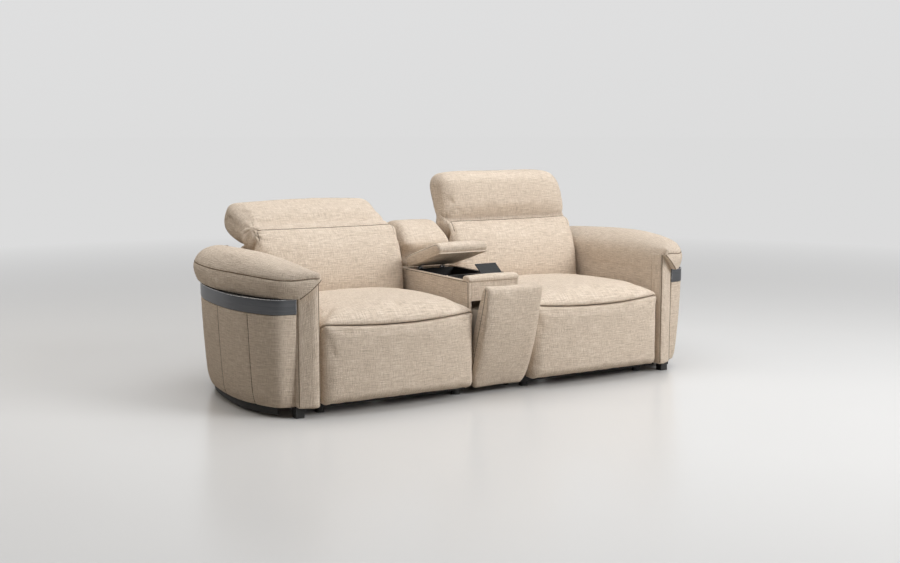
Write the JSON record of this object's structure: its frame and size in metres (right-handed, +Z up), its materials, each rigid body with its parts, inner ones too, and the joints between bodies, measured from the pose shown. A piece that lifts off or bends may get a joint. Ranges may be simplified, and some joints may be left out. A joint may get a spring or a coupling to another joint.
{
  "type": "two-seat reclining sofa with drop-down console",
  "caption": "Reclining sofa: padded seats either side of a storage console with a lift-up lid and a tilt-out front bin, tilting headrests, fold-out footrests and curved arms with a metal band.",
  "frame": {"origin": "floor point under the middle of the whole sofa", "axes": "+X to the sitter's right-hand side as seen from the front (viewer's right), +Y from the front to the back, +Z up"},
  "size_m": [2.2744, 1.1444, 0.928],
  "materials": {
    "fabric": "slubby woven upholstery cloth, matt",
    "rail_steel": "dark grey powder coat, satin",
    "band": "dark grey satin enamel with a bright edge",
    "base_black": "matt black",
    "feet": "matt black",
    "plywood": "raw plywood",
    "tray_black": "fine matt black",
    "storage_liner": "matt black",
    "bin": "smooth grey-beige",
    "flap": "dark charcoal, satin",
    "chrome": "bright chrome",
    "hinge": "plain zinc-plated steel",
    "webbing": "black elastic webbing"
  },
  "bodies": {
    "root": {"feet": "feet", "base_cross_rails": "base_black", "base_runners": "base_black", "slide_rails": "rail_steel", "actuator_tubes": "rail_steel", "rear_panels": "fabric", "arm_frame_left": "plywood", "arm_frame_right": "plywood", "arm_side_panel_left": "fabric", "arm_side_panel_right": "fabric", "arm_inner_panel_left": "fabric", "arm_inner_panel_right": "fabric", "arm_post_left": "fabric", "arm_post_right": "fabric", "arm_pad_left": "fabric", "arm_pad_right": "fabric", "arm_bands": "band", "arm_base_boards": "plywood", "console_walls": "fabric", "console_boards": "fabric", "console_storage": "storage_liner", "console_tray": "tray_black", "console_front_roll": "fabric", "console_back_pad": "fabric", "lid_hinge_brackets": "hinge"},
    "lid": {"lid_pad": "fabric", "lid_board": "plywood", "lid_hinge_leaves": "hinge"},
    "drop_front": {"drop_panel": "fabric", "drop_bin": "bin", "drop_catch": "chrome"},
    "flap": {"tray_flap": "flap"},
    "seat_left": {"seat_rails_left": "rail_steel", "seat_cross_tubes_left": "rail_steel", "seat_webbing_left": "webbing", "seat_cushion_left": "fabric", "actuator_rod_left": "chrome"},
    "back_left": {"back_uprights_left": "rail_steel", "back_rails_left": "rail_steel", "back_cushion_left": "fabric", "back_shell_left": "fabric"},
    "headrest_left": {"headrest_pad_left": "fabric", "headrest_shaft_left": "hinge"},
    "footrest_rear_link_left": {"footrest_rear_links_left": "rail_steel"},
    "footrest_front_link_left": {"footrest_front_links_left": "rail_steel"},
    "footrest_left": {"footrest_panel_left": "fabric"},
    "seat_right": {"seat_rails_right": "rail_steel", "seat_cross_tubes_right": "rail_steel", "seat_webbing_right": "webbing", "seat_cushion_right": "fabric", "actuator_rod_right": "chrome"},
    "back_right": {"back_uprights_right": "rail_steel", "back_rails_right": "rail_steel", "back_cushion_right": "fabric", "back_shell_right": "fabric"},
    "headrest_right": {"headrest_pad_right": "fabric", "headrest_shaft_right": "hinge"},
    "footrest_rear_link_right": {"footrest_rear_links_right": "rail_steel"},
    "footrest_front_link_right": {"footrest_front_links_right": "rail_steel"},
    "footrest_right": {"footrest_panel_right": "fabric"}
  },
  "joints": [
    {"name": "seat_slide_left", "type": "slide", "parent": "root", "child": "seat_left", "axis": [0, -1, 0], "range_m": [0, 0.11]},
    {"name": "back_recline_left", "type": "hinge", "parent": "seat_left", "child": "back_left", "pos_m": [-0.495, 0.201, 0.296], "axis": [-1, 0, 0], "range_deg": [0, 32]},
    {"name": "headrest_tilt_left", "type": "hinge", "parent": "back_left", "child": "headrest_left", "pos_m": [-0.495, 0.285, 0.645], "axis": [1, 0, 0], "range_deg": [0, 60]},
    {"name": "footrest_rear_link_swing_left", "type": "hinge", "parent": "seat_left", "child": "footrest_rear_link_left", "pos_m": [-0.495, -0.3054, 0.2299], "axis": [-1, 0, 0], "range_deg": [0, 116.4]},
    {"name": "footrest_front_link_swing_left", "type": "hinge", "parent": "footrest_rear_link_left", "child": "footrest_front_link_left", "pos_m": [-0.495, -0.21542, 0.09447], "axis": [1, 0, 0], "range_deg": [0, 149.2]},
    {"name": "footrest_panel_turn_left", "type": "hinge", "parent": "footrest_front_link_left", "child": "footrest_left", "pos_m": [-0.495, -0.36895, 0.2303], "axis": [-1, 0, 0], "range_deg": [0, 117]},
    {"name": "seat_slide_right", "type": "slide", "parent": "root", "child": "seat_right", "axis": [0, -1, 0], "range_m": [0, 0.11]},
    {"name": "back_recline_right", "type": "hinge", "parent": "seat_right", "child": "back_right", "pos_m": [0.495, 0.201, 0.296], "axis": [-1, 0, 0], "range_deg": [0, 32]},
    {"name": "headrest_tilt_right", "type": "hinge", "parent": "back_right", "child": "headrest_right", "pos_m": [0.495, 0.285, 0.645], "axis": [1, 0, 0], "range_deg": [-60, 0]},
    {"name": "footrest_rear_link_swing_right", "type": "hinge", "parent": "seat_right", "child": "footrest_rear_link_right", "pos_m": [0.495, -0.3054, 0.2299], "axis": [-1, 0, 0], "range_deg": [0, 116.4]},
    {"name": "footrest_front_link_swing_right", "type": "hinge", "parent": "footrest_rear_link_right", "child": "footrest_front_link_right", "pos_m": [0.495, -0.21542, 0.09447], "axis": [1, 0, 0], "range_deg": [0, 149.2]},
    {"name": "footrest_panel_turn_right", "type": "hinge", "parent": "footrest_front_link_right", "child": "footrest_right", "pos_m": [0.495, -0.36895, 0.2303], "axis": [-1, 0, 0], "range_deg": [0, 117]},
    {"name": "lid_hinge", "type": "hinge", "parent": "root", "child": "lid", "pos_m": [0, 0.143, 0.486], "axis": [-1, 0, 0], "range_deg": [-16.3, 36]},
    {"name": "drop_front_hinge", "type": "hinge", "parent": "root", "child": "drop_front", "pos_m": [0, -0.385, 0.205], "axis": [1, 0, 0], "range_deg": [-16.8, 6]},
    {"name": "flap_hinge", "type": "hinge", "parent": "root", "child": "flap", "pos_m": [0, -0.314, 0.502], "axis": [1, 0, 0], "range_deg": [-35, 35]}
  ],
  "couplings": [
    {"joint": "back_recline_left", "follows": "seat_slide_left", "rad_per_m": 5.0615},
    {"joint": "footrest_rear_link_swing_left", "follows": "seat_slide_left", "rad_per_m": 18.437},
    {"joint": "footrest_front_link_swing_left", "follows": "seat_slide_left", "rad_per_m": 23.641},
    {"joint": "footrest_panel_turn_left", "follows": "seat_slide_left", "rad_per_m": 18.532},
    {"joint": "back_recline_right", "follows": "seat_slide_right", "rad_per_m": 5.0615},
    {"joint": "footrest_rear_link_swing_right", "follows": "seat_slide_right", "rad_per_m": 18.437},
    {"joint": "footrest_front_link_swing_right", "follows": "seat_slide_right", "rad_per_m": 23.641},
    {"joint": "footrest_panel_turn_right", "follows": "seat_slide_right", "rad_per_m": 18.532}
  ]
}
